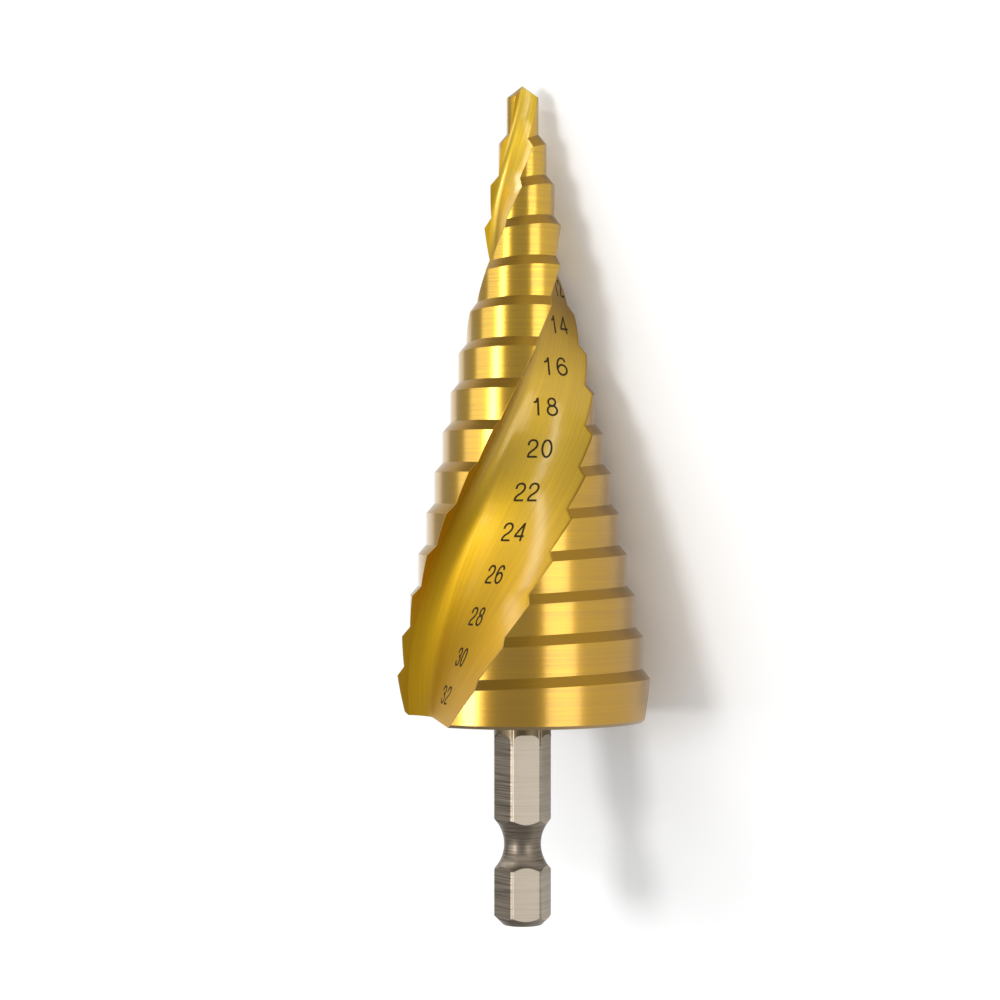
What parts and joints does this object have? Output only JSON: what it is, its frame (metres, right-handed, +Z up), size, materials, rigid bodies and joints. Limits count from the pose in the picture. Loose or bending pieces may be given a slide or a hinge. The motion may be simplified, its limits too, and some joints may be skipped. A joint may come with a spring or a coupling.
{
  "type": "step drill",
  "caption": "Cone-shaped step drill with two spiral flutes, stepped cutting lips and a short hexagonal quick-change shank, lying on its side.",
  "frame": {"origin": "middle of the footprint, on the surface that the drill lies on", "axes": "+Z up, +Y from the shank towards the tip along the ground, +X to the right"},
  "size_m": [0.032, 0.1034, 0.0314],
  "materials": {
    "coated_tool_steel": "ground tool steel with a gold titanium nitride coating on the head and bare steel on the shank"
  },
  "bodies": {
    "root": {"step_drill": "coated_tool_steel"}
  },
  "joints": []
}
